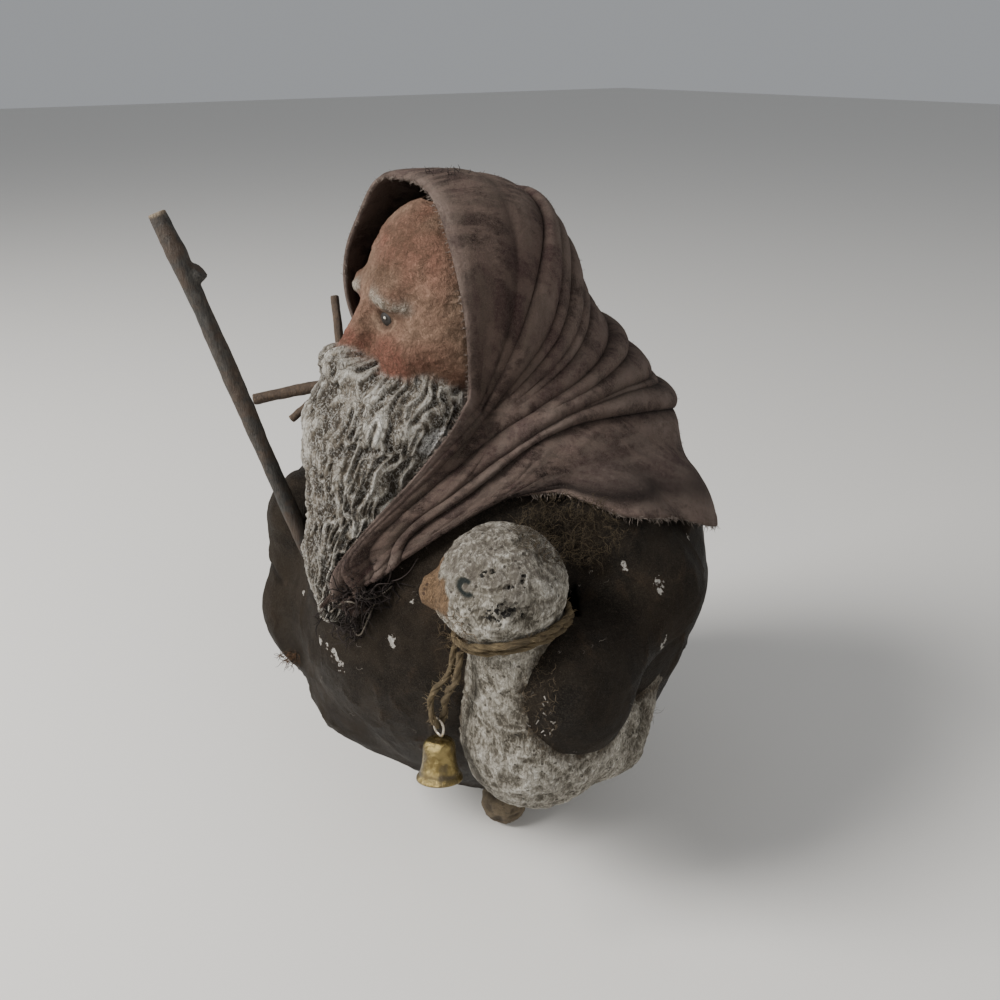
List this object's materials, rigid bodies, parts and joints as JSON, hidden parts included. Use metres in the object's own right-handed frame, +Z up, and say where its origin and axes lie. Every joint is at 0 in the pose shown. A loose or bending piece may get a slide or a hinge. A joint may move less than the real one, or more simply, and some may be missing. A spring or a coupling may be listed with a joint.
{
  "type": "folk art santa figure",
  "caption": "Squat folk art gift bringer in a dark coat and draped cloth hood, with a long beard, a cut staff, and a goose held under one arm that wears a small bell on twine.",
  "frame": {"origin": "on the surface that the figure stands on, in the flat face under the coat, below the middle of the figure", "axes": "+Z up, -Y the way the figure's front faces, +X towards the figure's left, where the goose is"},
  "size_m": [0.1337, 0.1392, 0.1852],
  "materials": {
    "coat": "dark charcoal brown paint over paper clay, matte",
    "head": "painted paper clay, white beard with brown wash, reddened skin",
    "hood": "stiffened dull plum brown cloth with a short nap",
    "goose": "off-white paint, cracked and pitted, brown wash",
    "clay": "dull brown clay",
    "staff": "dark bark",
    "twig": "brown bark",
    "twine": "rough plant fibre",
    "wire": "pale thin wire",
    "bell": "polished brass with a dark patina"
  },
  "bodies": {
    "root": {"coat": "coat", "head": "head", "hood": "hood", "goose": "goose", "left_foot": "clay", "right_foot": "clay", "staff": "staff", "forked_twig": "twig", "neck_twine": "twine", "bell_twine": "twine", "bell_wire": "wire", "bell": "bell"}
  },
  "joints": []
}
